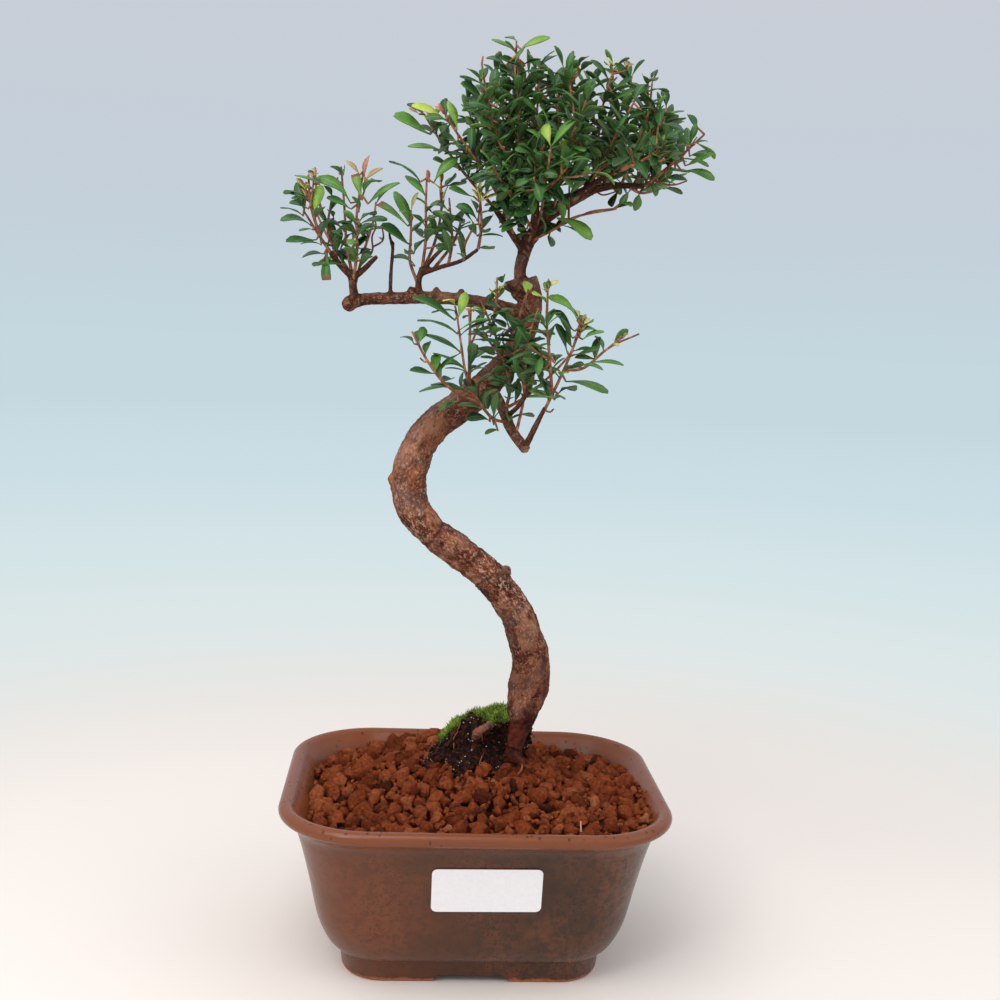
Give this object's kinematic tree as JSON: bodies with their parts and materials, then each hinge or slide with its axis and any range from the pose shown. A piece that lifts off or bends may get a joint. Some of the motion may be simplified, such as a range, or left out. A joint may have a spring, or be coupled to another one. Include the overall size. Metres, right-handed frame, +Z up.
{
  "type": "bonsai tree in pot",
  "caption": "Small-leaved bonsai with an S-bent trunk, layered leafy pads and a dense crown, in a glazed rounded-rectangle pot with granular soil, root ball and moss.",
  "frame": {"origin": "middle of the box of pot and foliage, on the table surface", "axes": "+Z up; +X to the right along the pot's long side, towards the crown's long limb; +Y away from the viewer, so the sticker faces -Y"},
  "size_m": [0.1872, 0.1444, 0.4062],
  "materials": {
    "glaze": "satin mottled brown stoneware glaze",
    "akadama": "matt granular fired clay soil",
    "humus": "damp dark humus",
    "moss": "soft velvety moss",
    "bark": "flaky pinkish brown bark",
    "leaf": "leathery glossy evergreen leaves on brown shoots",
    "sticker": "smooth white paper",
    "mesh": "matt black plastic"
  },
  "bodies": {
    "root": {"pot": "glaze", "drain_mesh_left": "mesh", "drain_mesh_right": "mesh", "blank_label": "sticker", "soil": "akadama", "root_ball": "humus", "moss": "moss", "trunk": "bark", "left_spray_1": "leaf", "left_spray_2": "leaf", "left_spray_3": "leaf", "left_spray_4": "leaf", "left_spray_5": "leaf", "left_spray_6": "leaf", "middle_spray_1": "leaf", "middle_spray_2": "leaf", "middle_spray_3": "leaf", "middle_spray_4": "leaf", "middle_spray_5": "leaf", "middle_spray_6": "leaf", "middle_spray_7": "leaf", "low_spray_1": "leaf", "low_spray_2": "leaf", "low_spray_3": "leaf", "low_spray_4": "leaf", "low_spray_5": "leaf", "crown_spray_1": "leaf", "crown_spray_2": "leaf", "crown_spray_3": "leaf", "crown_spray_4": "leaf", "crown_spray_5": "leaf", "crown_spray_6": "leaf", "crown_spray_7": "leaf", "crown_spray_8": "leaf", "crown_spray_9": "leaf", "crown_spray_10": "leaf", "crown_spray_11": "leaf", "crown_spray_12": "leaf", "crown_spray_13": "leaf", "crown_spray_14": "leaf", "crown_spray_15": "leaf", "crown_spray_16": "leaf", "crown_spray_17": "leaf", "crown_spray_18": "leaf", "crown_spray_19": "leaf", "crown_spray_20": "leaf", "crown_spray_21": "leaf", "crown_spray_22": "leaf", "crown_spray_23": "leaf", "crown_spray_24": "leaf", "crown_spray_25": "leaf", "crown_spray_26": "leaf", "crown_spray_27": "leaf"}
  },
  "joints": []
}
